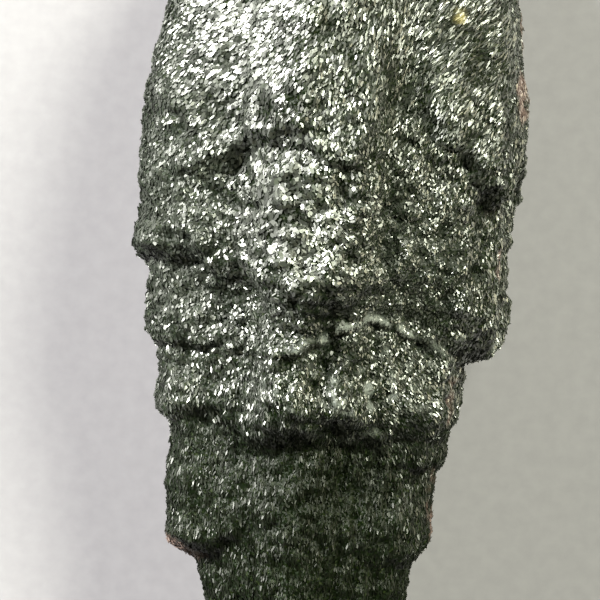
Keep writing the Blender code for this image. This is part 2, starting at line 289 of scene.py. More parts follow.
# %% The whole surface
def crystal_surface(places, angles):
    """Points on the side and tip, how high the knobs are there, the shells, and the bare lip."""
    thickness, lean, layers, line = shells(places, angles)
    grown = along(places, STEM) + thickness
    limit = along(places, HEAD)
    body = -HEAD_BLEND * np.logaddexp(-grown / HEAD_BLEND, -limit / HEAD_BLEND)

    guide = on_cylinder(places, angles, body)
    relief = STRIA_DEPTH * np.sin(places * 2.0 * math.pi / STRIA_SPACING)
    for layer, (size, height) in enumerate(WAVES, start=FIRST_WAVE_LAYER):
        relief = relief + height * smooth_noise(guide, size, layer)
    knobs = 0.0
    for layer, (size, height) in enumerate(KNOBS + FINE_KNOBS, start=FIRST_KNOB_LAYER):
        knobs = knobs + height * knob_noise(guide, size, layer)
    relief = relief + knobs
    on_shells = rise(layers / FULL_RELIEF_LAYERS)
    relief = relief * (STEM_RELIEF + (1.0 - STEM_RELIEF) * on_shells)
    relief = relief * along(places, UPPER_RELIEF)
    size, length, height = STEM_GROOVES
    drawn_out = guide * np.array([1.0, size / length, 1.0])
    relief = relief + (1.0 - on_shells) * height * smooth_noise(drawn_out, size, GROOVE_LAYER)

    distances = []
    for share, lead in zip(FACE_REACH, TIP_LEAD):
        sloping = (TIP + lead - places) * TIP_FACE_SLOPE
        flat = (body + relief) * share
        distances.append(np.maximum(np.minimum(flat, sloping + TIP_RELIEF * relief), LEAST_REACH))
    reach = face_reach(angles, distances)

    sideways = STEM_OFFSET * rise((STEM_OFFSET_ENDS - places) / (STEM_OFFSET_ENDS - BREAK))
    turned = np.radians(angles)
    points = np.stack(
        [reach * np.cos(turned) + sideways, places - lean, reach * np.sin(turned)], axis=-1
    )
    return points, knobs, layers, line


RIGHT_SIDE = crystal_surface(np.array([[5.0]]), np.array([0.0]))[0]
print("the head's right side is", round(float(RIGHT_SIDE[0, 0, 0]), 1), "mm from the axis")

# %% [markdown]
# ## The crust's mesh
#
# A grid of rows along the axis and columns round it closes at both ends in one point, like a
# globe. The rows lie closer together where the ledges are. Every point below the surface that
# the crystal rests on is lifted up to it, which leaves the flat contact face underneath.
# The crust stays under 200,000 triangles, the most that one piece should have.

# %% The grid
COLUMNS = 388
ROWS = 252
BREAK_SHARE = 0.07  # of the rows, that lie on the broken end
ROW_STATIONS = ((0.0, BREAK), (BREAK_SHARE, BREAK), (0.16, -27.0), (0.76, 12.0), (1.0, TIP))
BREAK_FLATNESS = 4  # the higher, the nearer to its rim the broken end starts to fall off


def crust_points():
    """All points of the grid, with the knobs' height, the number of shells, and the bare lip."""
    angles = np.arange(COLUMNS) * 360.0 / COLUMNS
    rows = np.linspace(0.0, 1.0, ROWS + 1)[1:-1, None]
    points, knobs, layers, line = crystal_surface(along(rows, ROW_STATIONS), angles)

    inwards = np.clip(rows / BREAK_SHARE, 0.0, 1.0)
    rounded = np.sin(inwards * math.pi / 2.0)
    points[..., 0] = STEM_OFFSET + (points[..., 0] - STEM_OFFSET) * rounded
    points[..., 2] *= rounded
    bulge = BREAK_DOME
    for layer, (size, height) in enumerate(BREAK_SCOOPS, start=BREAK_LAYER):
        bulge = bulge - height * knob_noise(points, size, layer)
    points[..., 1] -= (1.0 - inwards**BREAK_FLATNESS) * bulge

    points += np.array([0.0, -REST_POINT, AXIS_HEIGHT])
    points[..., 2] = np.maximum(points[..., 2], 0.0)
    return points, knobs, layers, line


POINTS, KNOB_HEIGHTS, LAYERS, LIP_LINE = crust_points()
print("grid:", POINTS.shape[0], "rows of", POINTS.shape[1])

# %% [markdown]
# The mesh gets a UV map straight from the grid. Blender could unwrap the crust, but it would
# cut so lumpy a surface into thousands of islands. The grid itself is already one clean map:
# the angle runs along U and the row along V.

# %% The crust
def mesh_from_grid(name, points):
    """A closed mesh from rows of points, with one more point in the middle of each end."""
    rows, columns = points.shape[:2]
    ends = [points[0].mean(axis=0), points[-1].mean(axis=0)]
    everything = np.vstack([points.reshape(-1, 3), ends]) * MM
    first_end = rows * columns
    faces, uvs = [], []
    for r in range(-1, rows):
        low, high = (r + 1) / (rows + 1), (r + 2) / (rows + 1)
        for c in range(columns):
            d = (c + 1) % columns
            left, right = c / columns, (c + 1) / columns
            if r == -1:
                faces.append((first_end, d, c))
                uvs += [((left + right) / 2, low), (right, high), (left, high)]
            elif r == rows - 1:
                faces.append((r * columns + c, r * columns + d, first_end + 1))
                uvs += [(left, low), (right, low), ((left + right) / 2, high)]
            else:
                up = (r + 1) * columns
                faces.append((r * columns + c, r * columns + d, up + d, up + c))
                uvs += [(left, low), (right, low), (right, high), (left, high)]
    mesh = bpy.data.meshes.new(name)
    mesh.from_pydata(everything.tolist(), [], faces)
    mesh.uv_layers.new(name="OFBake").uv.foreach_set("vector", np.array(uvs).ravel())
    mesh.update()
    return mesh


def faces_out(mesh):
    """Turns all faces of a closed mesh outwards."""
    shape = bmesh.new()
    shape.from_mesh(mesh)
    bmesh.ops.recalc_face_normals(shape, faces=shape.faces)
    shape.to_mesh(mesh)
    shape.free()


def show(name, mesh):
    """An object at the origin that shows the mesh, with its place in its mesh."""
    thing = bpy.data.objects.new(name, mesh)
    bpy.context.scene.collection.objects.link(thing)
    return thing


crust = show("chlorite_ground", mesh_from_grid("chlorite_ground", POINTS))
faces_out(crust.data)
crust.data.shade_smooth()
print("crust:", len(crust.data.polygons), "faces")

# %% [markdown]
# ## Where the plates differ
#
# Plates are not the same all over. They grew coarse on the upper left of the head and fine on
# the stem, some lie side by side like combed hair, and a few rims are bare. Such a map could be
# painted by hand. Here soft round patches are named by their place, and their sum is stored on
# the mesh as attributes, which both the nodes and the materials can read.

# %% Patches
STEM_ENDS = -13.0
STEM_FADE = 6.0  # mm over which the stem's kind of plate gives way to the head's

ANGLES = np.degrees(np.arctan2(POINTS[..., 2] - AXIS_HEIGHT, POINTS[..., 0])) % 360.0
PLACES = POINTS[..., 1] + REST_POINT
ON_HEAD = rise((PLACES - STEM_ENDS) / STEM_FADE)


def patches(spots):
    """The sum of soft patches at every point of the grid.

    A patch is the angle and place of its middle, its half-size in degrees and mm, and its strength.
    """
    total = np.zeros(PLACES.shape)
    for angle, place, degrees, length, strength in spots:
        turn = (ANGLES - angle + 180.0) % 360.0 - 180.0
        total += strength * np.exp(-((turn / degrees) ** 2) - ((PLACES - place) / length) ** 2)
    return total


def store(name, values):
    """Keeps a number for every point of the grid on the crust, and for the middle of each end."""
    at_ends = [values[0].mean(), values[-1].mean()]
    kept = crust.data.attributes.new(name, "FLOAT", "POINT")
    kept.data.foreach_set("value", np.concatenate([values.ravel(), at_ends]).astype(np.float32))


print("points on the head:", int((ON_HEAD > 0.5).sum()), "of", ON_HEAD.size)

# %% [markdown]
# How large a plate is depends on where it grew. The largest are on the upper left of the head and
# in the middle, and the smallest on the stem and in a few patches on the right. Coarse plates lie
# flat, like roof tiles, and fine ones lean more.

# %% Size and lean of the plates
COARSE_PATCHES = (
    (128, 22, 34, 9.0, 0.8), (122, 12, 26, 6.0, 0.6), (109, 3.6, 18, 4.6, 1.0),
    (88, -0.5, 12, 3.0, 0.4), (150, -2, 20, 6.0, 0.3),
)
FINER_PATCHES = ((56, -1, 24, 6.5, 0.3), (75, -10, 42, 2.6, 0.2), (62, 10, 18, 4.0, 0.12))
FINE_SIZE = 0.20  # mm across, of the head's plates away from the coarse patches
STEM_SIZE = 0.17
COARSE_SIZE = 0.30
FINE_TILT = 0.5  # radians, the most that a fine plate leans on its own
COARSE_TILT = 0.24

COARSE = np.clip(patches(COARSE_PATCHES), 0.0, 1.0)
FINER = patches(FINER_PATCHES)
FINE = STEM_SIZE + (FINE_SIZE - STEM_SIZE) * ON_HEAD
PLATE_SIZE = (FINE + (COARSE_SIZE - FINE) * COARSE) * (1.0 - FINER)
store("plate_size", PLATE_SIZE)
store("plate_tilt", FINE_TILT + (COARSE_TILT - FINE_TILT) * COARSE)
print("plates from", round(PLATE_SIZE.min(), 2), "to", round(PLATE_SIZE.max(), 2), "mm across")

# %% [markdown]
# Long plates lie side by side, and the way they point changes slowly over the crust. In other
# places plates of all directions mix. On the stem, and in two patches on the head, they are drawn
# out along the crystal.

# %% Direction and length of the plates
# A plate's turn, in radians, is that of its long side from the axis
TURN_PATCHES = (
    (132, 20, 38, 13.0, -1.1), (46, 18, 24, 11.0, -0.8), (48, -10, 24, 4.0, 0.7), (14, -1, 14, 7.0, 0.25),
)
TURN_SPREAD = 0.28
MIXED_PATCHES = ((95, 0, 60, 9.0, 1.0), (200, 5, 40, 30.0, 0.6), (290, 5, 40, 30.0, 0.6))
MIXED_SPREAD = 1.6
STEM_LENGTH = 1.7  # how much longer and narrower the stem's plates are
LENGTH_PATCHES = ((52, 19, 34, 9.0, 1.1), (12, -1, 14, 7.0, 1.0))

MIXED = np.clip(patches(MIXED_PATCHES), 0.0, 1.0)
PLATE_LENGTH = STEM_LENGTH + (1.0 - STEM_LENGTH) * ON_HEAD + patches(LENGTH_PATCHES)
store("plate_turn", patches(TURN_PATCHES))
store("plate_length", PLATE_LENGTH)
store("turn_spread", TURN_SPREAD + (MIXED_SPREAD - TURN_SPREAD) * MIXED)
print("plates are drawn out up to", round(PLATE_LENGTH.max(), 1), "times")

# %% [markdown]
# A plate shines as far as its face is large and clean. Plates on the stem, in the creases between
# the knobs and below the lips are dull, and each shell further out is brighter. The dulling in the
# creases, below the lips and in a few patches is painted shade: it dims the flash and darkens the
# colour where less light falls.

# %% Shine, and painted shade
SHELL_SHINE = (0.05, 0.2, 0.25, 0.95, 1.0, 1.0, 1.0)  # on the stem, and then on each shell over it
KNOB_RANGE = 0.75  # mm of knob height from the floor of a crease to its upper edge
# painted shade: plates in the creases are dulled as if in shadow
CREASE_SHADE_DULL = 0.75
FINE_DULL = 0.05  # how much less fine plates shine than coarse ones
FINER_SHINE = 1.0  # and how much more the smallest ones on the head do
# Painted shade: patches that dim the flash and darken the colour where less light falls
SHADE_DULLED_PATCHES = (
    (155, 3, 25, 13.0, 0.9), (85, -17.5, 34, 4.2, 0.92), (82, -2.4, 24, 1.8, 0.5),
    (80, -10.5, 44, 2.6, 0.16),
)

HOLLOW = np.clip(0.5 - KNOB_HEIGHTS / KNOB_RANGE, 0.0, 1.0)
SHADE_DULLED = np.clip(patches(SHADE_DULLED_PATCHES), 0.0, 1.0)
SHINE_AND_SHADE = np.interp(LAYERS, range(len(SHELL_SHINE)), SHELL_SHINE) * (1.0 - FINE_DULL * (1.0 - COARSE))
SHINE_AND_SHADE = SHINE_AND_SHADE * (1.0 + FINER_SHINE * FINER) * (1.0 - SHADE_DULLED) * (1.0 - CREASE_SHADE_DULL * HOLLOW)
store("shine_and_shade", SHINE_AND_SHADE)
print("mean shine:", round(SHINE_AND_SHADE.mean(), 2))

# %% [markdown]
# A few rims are bare quartz with a brown skin of iron oxide. Real stains have torn edges. So noise
# is added to the soft patches before they are cut off at one level.

# %% Iron stain
STAIN_PATCHES = (
    (4, 14.6, 11, 2.2, 1.0), (355, -18.0, 12, 2.6, 0.65), (165, -22.0, 14, 0.9, 1.2),
    (22, 2.0, 7, 4.0, 0.8), (26, -9.0, 7, 3.0, 0.6), (20, -16.5, 20, 3.0, 0.35), (335, 20.0, 16, 4.0, 0.8),
    (240, 30.0, 22, 5.0, 0.8), (210, -12.0, 16, 3.0, 0.8),
)
STAIN_RAGS = ((2.6, 1.4), (0.9, 1.2))  # the size and share of the noise that tears their edges
STAIN_LAYER = 35
STAIN_EDGE = 0.4
STAIN_SHARPNESS = 1.8

RAGS = sum(share * smooth_noise(POINTS, size, STAIN_LAYER) for size, share in STAIN_RAGS)
STAIN = patches(STAIN_PATCHES) * (1.0 + RAGS)
STAIN = np.clip((STAIN - STAIN_EDGE) * STAIN_SHARPNESS, 0.0, 1.0)
store("stain", STAIN)
print("stained points:", int((STAIN > 0.5).sum()))

# %% [markdown]
# Clean pale quartz shows along the arched lip and in small windows in the crust below it. A thin
# pale haze in two places is painted sheen, which lightens the crust there. The windows are the
# tops of a fine noise. One yellow grain sits near the upper right edge.

# %% Clean quartz, painted sheen, and the yellow grain
PALE_LIP_PATCHES = ((70, -4.8, 26, 3.0, 1.0),)
PALE_WINDOW_PATCHES = ((76, -8.5, 30, 3.2, 0.7),)
# painted sheen: a thin pale haze that lightens the crust in two places
PAINTED_SHEEN_PATCHES = ((152, 3, 22, 13.0, 0.07), (60, 0, 18, 7.0, 0.035))
WINDOW_SIZE = 0.9
WINDOW_LAYER = 37
WINDOW_EDGE = 0.3
LIP_WINDOW_EDGE = -0.15  # lower, so that the windows on the lip nearly join
WINDOW_SHARPNESS = 5.0
SPECK_PATCHES = ((52, 19.5, 1.6, 0.32, 1.0),)

WINDOWS = smooth_noise(POINTS, WINDOW_SIZE, WINDOW_LAYER)
ON_BAND = np.clip((WINDOWS - WINDOW_EDGE) * WINDOW_SHARPNESS, 0.0, 1.0)
ON_LIP = np.clip((WINDOWS - LIP_WINDOW_EDGE) * WINDOW_SHARPNESS, 0.0, 1.0) * LIP_LINE
PALE_QUARTZ_AND_SHEEN = patches(PAINTED_SHEEN_PATCHES) + ON_BAND * patches(PALE_WINDOW_PATCHES)
PALE_QUARTZ_AND_SHEEN = np.clip(PALE_QUARTZ_AND_SHEEN + ON_LIP * patches(PALE_LIP_PATCHES), 0.0, 1.0)
store("pale_quartz_and_sheen", PALE_QUARTZ_AND_SHEEN)
store("speck", np.clip(patches(SPECK_PATCHES), 0.0, 1.0))
print("points of clean quartz:", int((PALE_QUARTZ_AND_SHEEN > 0.5).sum()))

# %% [markdown]
# The cover says how thickly the plates stand. Few grow in a crease or on bare quartz, and none on
# the break, which is younger than the crust, or on the contact face, where the crystal grew
# against the wall of its pocket. Coarse plates leave gaps between them. The deepest places, in
# creases and below two lips, get painted shade: a darker colour that stands for the shadow there.

# %% Painted shade and cover
# Painted shadow: patches below two lips, darkened as if the lip shaded them
PAINTED_SHADOW_PATCHES = ((88, -17.2, 32, 3.4, 0.9), (82, -2.4, 24, 1.6, 0.4))
CREST_COVER = 1.35  # more than 1, so that the cover is full until well down a knob's side
HOLLOW_GAPS = 1.2
LEAST_COVER = 0.1
BARE_GAPS = 0.5
COARSE_GAPS = 0.5
FINER_CROWD = 1.5  # how much closer small plates stand, for each part that they are smaller
CLEAR_HEIGHT = 0.35  # mm above the surface that the crystal rests on

BREAK_ROWS = round(BREAK_SHARE * ROWS)
OPEN = 1.0 - (POINTS[..., 2] < CLEAR_HEIGHT)
OPEN[:BREAK_ROWS] = 0.0
COVER = np.clip(CREST_COVER - HOLLOW_GAPS * HOLLOW, LEAST_COVER, 1.0)
COVER = COVER * (1.0 - BARE_GAPS * np.maximum(STAIN, PALE_QUARTZ_AND_SHEEN)) * OPEN
COVER = COVER * (1.0 - COARSE_GAPS * COARSE) * (1.0 + FINER_CROWD * FINER)
# painted shade: the creases and the patches below the lips, darkened in both materials
store("painted_shade", np.clip(HOLLOW + patches(PAINTED_SHADOW_PATCHES), 0.0, 1.0))
store("cover", COVER)
store("coarse_cover", COVER * COARSE**2)
print("mean cover:", round(COVER.mean(), 2))

# %% [markdown]
# ## Colours and nodes
#
# One function turns a colour as it is picked on a screen into the linear numbers that a shader
# needs. Another adds a node with its settings and its links, for materials and for Geometry
# Nodes alike, so that a tree reads from top to bottom like a recipe.

# %% Helpers for colours and nodes
def linear(hex_colour):
    """An sRGB colour such as "#1a2b3c", as linear red, green, blue and alpha."""
    parts = [int(hex_colour[i : i + 2], 16) / 255.0 for i in (1, 3, 5)]
    return [c / 12.92 if c <= 0.04045 else ((c + 0.055) / 1.055) ** 2.4 for c in parts] + [1.0]


def add(tree, kind, inputs=None, **settings):
    """Adds a node. An input takes a number, a colour, or another node's output as a link."""
    node = tree.nodes.new(kind)
    for name, value in settings.items():
        setattr(node, name, value)
    for name, value in (inputs or {}).items():
        if isinstance(value, bpy.types.NodeSocket):
            tree.links.new(value, node.inputs[name])
        else:
            node.inputs[name].default_value = value
    return node


def set_ramp(ramp, stops):
    """Gives a Color Ramp its stops, as (position, hex colour)."""
    while len(ramp.color_ramp.elements) < len(stops):
        ramp.color_ramp.elements.new(1.0)
    for element, (position, colour) in zip(ramp.color_ramp.elements, stops):
        element.position = position
        element.color = linear(colour)


def new_material(name):
    """An empty material: its node tree and its Principled shader."""
    made = bpy.data.materials.new(name)
    made.use_nodes = True
    shader = made.node_tree.nodes["Principled BSDF"]
    return made, made.node_tree, shader


def laid_over(tree, colour, finishes):
    """A colour with others laid over it, each where the mesh's attribute of that name says."""
    for attribute, hex_colour in finishes:
        share = add(tree, "ShaderNodeAttribute", attribute_name=attribute).outputs["Fac"]
        colour = add(tree, "ShaderNodeMix", {0: share, 6: colour, 7: linear(hex_colour)},
                     data_type="RGBA").outputs[2]
    return colour


print("#808080 is", round(linear("#808080")[0], 3), "in linear numbers")

# %% [markdown]
# ## Chlorite: the ground
#
# Chlorite is a soft green silicate that splits into plates like mica. Where its plates are
# finer than a pixel or two they can't be modelled one by one. A bump map could roughen the
# surface, but real plates are flat, and each flashes as a whole. So Voronoi cells 0.15 mm wide
# stand for them: each cell has one colour, and that colour also tips its normal, so every cell
# mirrors another part of the room. This is grown, not polished: dark, and half glossy.

# %% Material: chlorite ground
GROUND_CELL = 0.15
GROUND_TILT = 0.75
CLOUD_SIZE = 2.2
LUMP_SIZE = 0.5
LUMP_HEIGHT = 0.15
CHLORITE_IOR = 1.60  # clinochlore has 1.57 to 1.61
GROUND_ROUGHNESS = (0.34, 0.60)
GROUND_SPECULAR = 0.18  # below the usual 0.5, because the finest plates shade one another


def chlorite_ground():
    made, tree, shader = new_material("chlorite_fine_grown")
    where = add(tree, "ShaderNodeTexCoord").outputs["Object"]
    in_mm = add(tree, "ShaderNodeVectorMath", {0: where, "Scale": 1.0 / MM}, operation="SCALE").outputs[0]
    cells = add(tree, "ShaderNodeTexVoronoi", {"Vector": in_mm, "Scale": 1.0 / GROUND_CELL})
    split = add(tree, "ShaderNodeSeparateColor", {0: cells.outputs["Color"]})

    # One shade for each cell, and painted shade over it in clouds, where the crust is in a crease
    # or below a lip
    shade = add(tree, "ShaderNodeValToRGB", {0: split.outputs[0]})
    set_ramp(shade, ((0.0, "#050e01"), (0.55, "#0b1903"), (0.85, "#152108"), (1.0, "#2a3417")))
    clouds = add(tree, "ShaderNodeTexNoise", {"Vector": in_mm, "Scale": 1.0 / CLOUD_SIZE, "Detail": 3.0})
    painted_shade = add(tree, "ShaderNodeAttribute", attribute_name="painted_shade").outputs["Fac"]
    shade_amount = add(tree, "ShaderNodeMath", {0: painted_shade, 1: clouds.outputs[0]}, operation="MULTIPLY")
    shaded = add(tree, "ShaderNodeMix", {0: shade_amount.outputs[0], 6: shade.outputs[0], 7: linear("#050a02")},
                 data_type="RGBA")

    # Over that clean quartz and a thin painted sheen, then quartz with an iron stain, then the yellow grain
    finished = laid_over(tree, shaded.outputs[2],
                         (("pale_quartz_and_sheen", "#949995"), ("stain", "#5c4c49"), ("speck", "#b3a56b")))
    tree.links.new(finished, shader.inputs["Base Color"])

    # Every cell leans its own way, on top of lumps a few cells wide
    lumps = add(tree, "ShaderNodeTexNoise", {"Vector": in_mm, "Scale": 1.0 / LUMP_SIZE, "Detail": 4.0})
    bump = add(tree, "ShaderNodeBump", {"Height": lumps.outputs[0], "Distance": LUMP_HEIGHT * MM,
                                        "Strength": 0.6})
    lean = add(tree, "ShaderNodeVectorMath", {0: cells.outputs["Color"], 1: (0.5, 0.5, 0.5)},
               operation="SUBTRACT")
    lean = add(tree, "ShaderNodeVectorMath", {0: lean.outputs[0], "Scale": GROUND_TILT}, operation="SCALE")
    tipped = add(tree, "ShaderNodeVectorMath", {0: bump.outputs[0], 1: lean.outputs[0]}, operation="ADD")
    tipped = add(tree, "ShaderNodeVectorMath", {0: tipped.outputs[0]}, operation="NORMALIZE")
    tree.links.new(tipped.outputs[0], shader.inputs["Normal"])

    smoothest, roughest = GROUND_ROUGHNESS
    rough = add(tree, "ShaderNodeMapRange", {0: split.outputs[1], 3: smoothest, 4: roughest})
    tree.links.new(rough.outputs[0], shader.inputs["Roughness"])
    shader.inputs["IOR"].default_value = CHLORITE_IOR
    shader.inputs["Specular IOR Level"].default_value = GROUND_SPECULAR
    return made


crust.data.materials.append(chlorite_ground())
print("ground cells:", GROUND_CELL, "mm")

# %% [markdown]
# ## The broken end
#
# Where the stem snapped off its rock there is no crust. Quartz has no cleavage, so it breaks like
# glass, in shallow shells with curved ripples. It is glassy, but full of fine green chlorite, so the
# light doesn't get far. A see-through shader would show an empty inside here, so the depth is
# left to the colour: grey green, with paler veils.

# %% Material: quartz, broken
QUARTZ_IOR = 1.544
RIPPLE = 1.6  # mm from one ripple to the next
RINGS_A_UNIT = 3.2  # of the Wave node at scale 1
RIPPLE_MOVE = (7.0, 0.0, -14.0)  # added to a place in mm, so that ripples curve round the upper left
VEIL = 1.8
INCLUSION = 0.35
INCLUSION_EDGE = (0.72, 0.80)  # about one cell in four holds a dark grain
CHIP = 2.4
CHIP_DEPTH = 0.5
RIPPLE_DEPTH = 0.12


def broken_quartz():
    made, tree, shader = new_material("quartz_conchoidal_break")
    where = add(tree, "ShaderNodeTexCoord").outputs["Object"]
    in_mm = add(tree, "ShaderNodeVectorMath", {0: where, "Scale": 1.0 / MM}, operation="SCALE").outputs[0]
    veils = add(tree, "ShaderNodeTexNoise", {"Vector": in_mm, "Scale": 1.0 / VEIL, "Detail": 5.0,
                                             "Roughness": 0.65, "Distortion": 0.6})
    shade = add(tree, "ShaderNodeValToRGB", {0: veils.outputs[0]})
    set_ramp(shade, ((0.30, "#343b31"), (0.48, "#4b5347"), (0.62, "#666d60"), (0.75, "#8a9184")))
    grains = add(tree, "ShaderNodeTexVoronoi", {"Vector": in_mm, "Scale": 1.0 / INCLUSION})
    grain = add(tree, "ShaderNodeSeparateColor", {0: grains.outputs["Color"]})
    start, full = INCLUSION_EDGE
    inside = add(tree, "ShaderNodeMapRange", {0: grain.outputs[0], 1: start, 2: full, 3: 0.0, 4: 0.8})
    dotted = add(tree, "ShaderNodeMix", {0: inside.outputs[0], 6: shade.outputs[0], 7: linear("#10180c")},
                 data_type="RGBA")
    tree.links.new(dotted.outputs[2], shader.inputs["Base Color"])

    # Shallow chips, and ripples that run over them
    moved = add(tree, "ShaderNodeVectorMath", {0: in_mm, 1: RIPPLE_MOVE}, operation="ADD").outputs[0]
    rings = add(tree, "ShaderNodeTexWave",
                {"Vector": moved, "Scale": 1.0 / RIPPLE / RINGS_A_UNIT, "Distortion": 3.0,
                 "Detail": 2.0, "Detail Scale": 0.8},
                wave_type="RINGS", rings_direction="SPHERICAL")
    chips = add(tree, "ShaderNodeTexVoronoi", {"Vector": in_mm, "Scale": 1.0 / CHIP}, feature="SMOOTH_F1")
    chipped = add(tree, "ShaderNodeBump", {"Height": chips.outputs["Distance"],
                                           "Distance": CHIP_DEPTH * MM, "Strength": 0.7})
    rippled = add(tree, "ShaderNodeBump", {"Height": rings.outputs["Fac"],
                                           "Distance": RIPPLE_DEPTH * MM, "Strength": 0.6,
                                           "Normal": chipped.outputs[0]})
    tree.links.new(rippled.outputs[0], shader.inputs["Normal"])
    rough = add(tree, "ShaderNodeMapRange", {0: veils.outputs[0], 3: 0.10, 4: 0.30})
    tree.links.new(rough.outputs[0], shader.inputs["Roughness"])
    shader.inputs["IOR"].default_value = QUARTZ_IOR
    return made


crust.data.materials.append(broken_quartz())
ON_BREAK = np.zeros(len(crust.data.polygons), np.int32)
ON_BREAK[: (BREAK_ROWS - 1) * COLUMNS] = 1
crust.data.polygons.foreach_set("material_index", ON_BREAK)
print("faces on the break:", int(ON_BREAK.sum()))

# %% [markdown]
# ## Chlorite: the plates
#
# The plates that show one by one are 0.15 to 0.5 mm across, six-sided or broken, and rooted in the
# crust. Their colour is a grey green, but their cleavage face has the pearly flash that makes the
# crust glitter. It reflects several layers at once, so a coat on top reflects more than one
# surface of chlorite would. Each plate has its own tone, which Geometry Nodes stores on it, and
# only those with a high tone flash.

# %% Material: chlorite plates
PEARL_IOR = 3.4  # of the coat: several thin layers together reflect as much as this
PEARL_ROUGHNESS = 0.44
FLASH_POWER = 2.0
FLASH = (0.58, 1.5)  # of the lowest and the highest tone, and what is over 1 is cut off
PLATE_ROUGHNESS = (0.55, 0.35)  # from the lowest tone to the highest
DULL_ROUGHNESS = 0.5
PLATE_SPECULAR = 0.14
# how strongly the painted shade darkens the plates
PAINTED_SHADE_DEPTH = 0.9


def chlorite_plates():
    made, tree, shader = new_material("chlorite_plates_pearly")
    tone = add(tree, "ShaderNodeAttribute", attribute_name="tone").outputs["Fac"]
    shade = add(tree, "ShaderNodeValToRGB", {0: tone})
    set_ramp(shade, ((0.0, "#071101"), (0.4, "#0e1b03"), (0.75, "#1a2a07"), (1.0, "#2c3d13")))
    # Painted shade: darker where the crust is in a crease or below a lip
    painted_shade = add(tree, "ShaderNodeAttribute", attribute_name="painted_shade").outputs["Fac"]
    shade_share = add(tree, "ShaderNodeMath", {0: painted_shade, 1: PAINTED_SHADE_DEPTH}, operation="MULTIPLY")
    shaded = add(tree, "ShaderNodeMix", {0: shade_share.outputs[0], 6: shade.outputs[0], 7: linear("#060d02")},
                 data_type="RGBA")

    # Where the crust doesn't shine it is dark all over; in the creases, below the lips and in a few
    # patches that is painted shade. Bare quartz, a thin painted sheen and the grain lie over that.
    shine_and_shade = add(tree, "ShaderNodeAttribute", attribute_name="shine_and_shade").outputs["Fac"]
    finer = add(tree, "ShaderNodeMix", {0: shine_and_shade, 6: linear("#0b1103"), 7: shaded.outputs[2]},
                data_type="RGBA")
    finished = laid_over(tree, finer.outputs[2],
                         (("pale_quartz_and_sheen", "#a3a8a3"), ("stain", "#88736d"), ("speck", "#c4b67c")))
    tree.links.new(finished, shader.inputs["Base Color"])

    lowest, highest = PLATE_ROUGHNESS
    rough = add(tree, "ShaderNodeMapRange", {0: tone, 3: lowest, 4: highest}).outputs[0]
    rougher = add(tree, "ShaderNodeMix", {0: shine_and_shade, 2: DULL_ROUGHNESS, 3: rough})
    tree.links.new(rougher.outputs[0], shader.inputs["Roughness"])
    shader.inputs["IOR"].default_value = CHLORITE_IOR
    shader.inputs["Specular IOR Level"].default_value = PLATE_SPECULAR

    # The pearly flash
    few = add(tree, "ShaderNodeMath", {0: tone, 1: FLASH_POWER}, operation="POWER")
    weakest, strongest = FLASH
    flash = add(tree, "ShaderNodeMapRange", {0: few.outputs[0], 3: weakest, 4: strongest})
    weight = add(tree, "ShaderNodeMath", {0: shine_and_shade, 1: flash.outputs[0]},
                 operation="MULTIPLY", use_clamp=True)
    tree.links.new(weight.outputs[0], shader.inputs["Coat Weight"])
    shader.inputs["Coat IOR"].default_value = PEARL_IOR
    shader.inputs["Coat Roughness"].default_value = PEARL_ROUGHNESS
    return made


PLATES = chlorite_plates()
print("plates' material:", len(PLATES.node_tree.nodes), "nodes")

# %% [markdown]
# ## Plates by the ten thousand
#
# A particle system or hair could scatter the plates, but neither survives an export. Geometry
# Nodes scatter points on the crust, put a plate on each, turn it at random, and make plain mesh
# of the lot. What differs from one piece of plates to the next is an input of the tree.

# %% The tree's inputs
# Each input: its name, its kind, and its value unless a piece gives another
INPUTS = (
    ("Crust", "Geometry", None),
    ("Plates per square mm", "Float", 25.0),
    ("Cover", "String", "cover"),  # the attribute that says how thickly the plates stand
    ("Start", "Float", -1.0),  # plates grow from here to End along Y, in metres
    ("End", "Float", 1.0),
    ("Least size", "Float", 0.6),  # as a share of the crust's plate_size
    ("Most size", "Float", 1.7),
    ("Bunch size", "Float", 1.2),  # mm across a bunch of plates that lean the same way
    ("Bunch lean", "Float", 2.9),  # as a share of the crust's plate_tilt
    ("Corners", "Int", 5),
    ("Squares a side", "Int", 160),  # of the UV map, one square for each plate
    ("Seed", "Int", 1),
    ("Finish", "Material", None),
)


def new_scatter():
    """The tree with its inputs and its output, and nothing between them."""
    tree = bpy.data.node_groups.new("scatter_plates", "GeometryNodeTree")
    for name, kind, default in INPUTS:
        socket = tree.interface.new_socket(name, in_out="INPUT", socket_type="NodeSocket" + kind)
        if default is not None:
            socket.default_value = default
    tree.interface.new_socket("Plates", in_out="OUTPUT", socket_type="NodeSocketGeometry")
    return tree


print("inputs:", len(INPUTS))

# %% [markdown]
# The points fall on the part of the crust between Start and End, and they are thinner where the
# cover is. Both are read from the crust, so one tree serves for every piece.

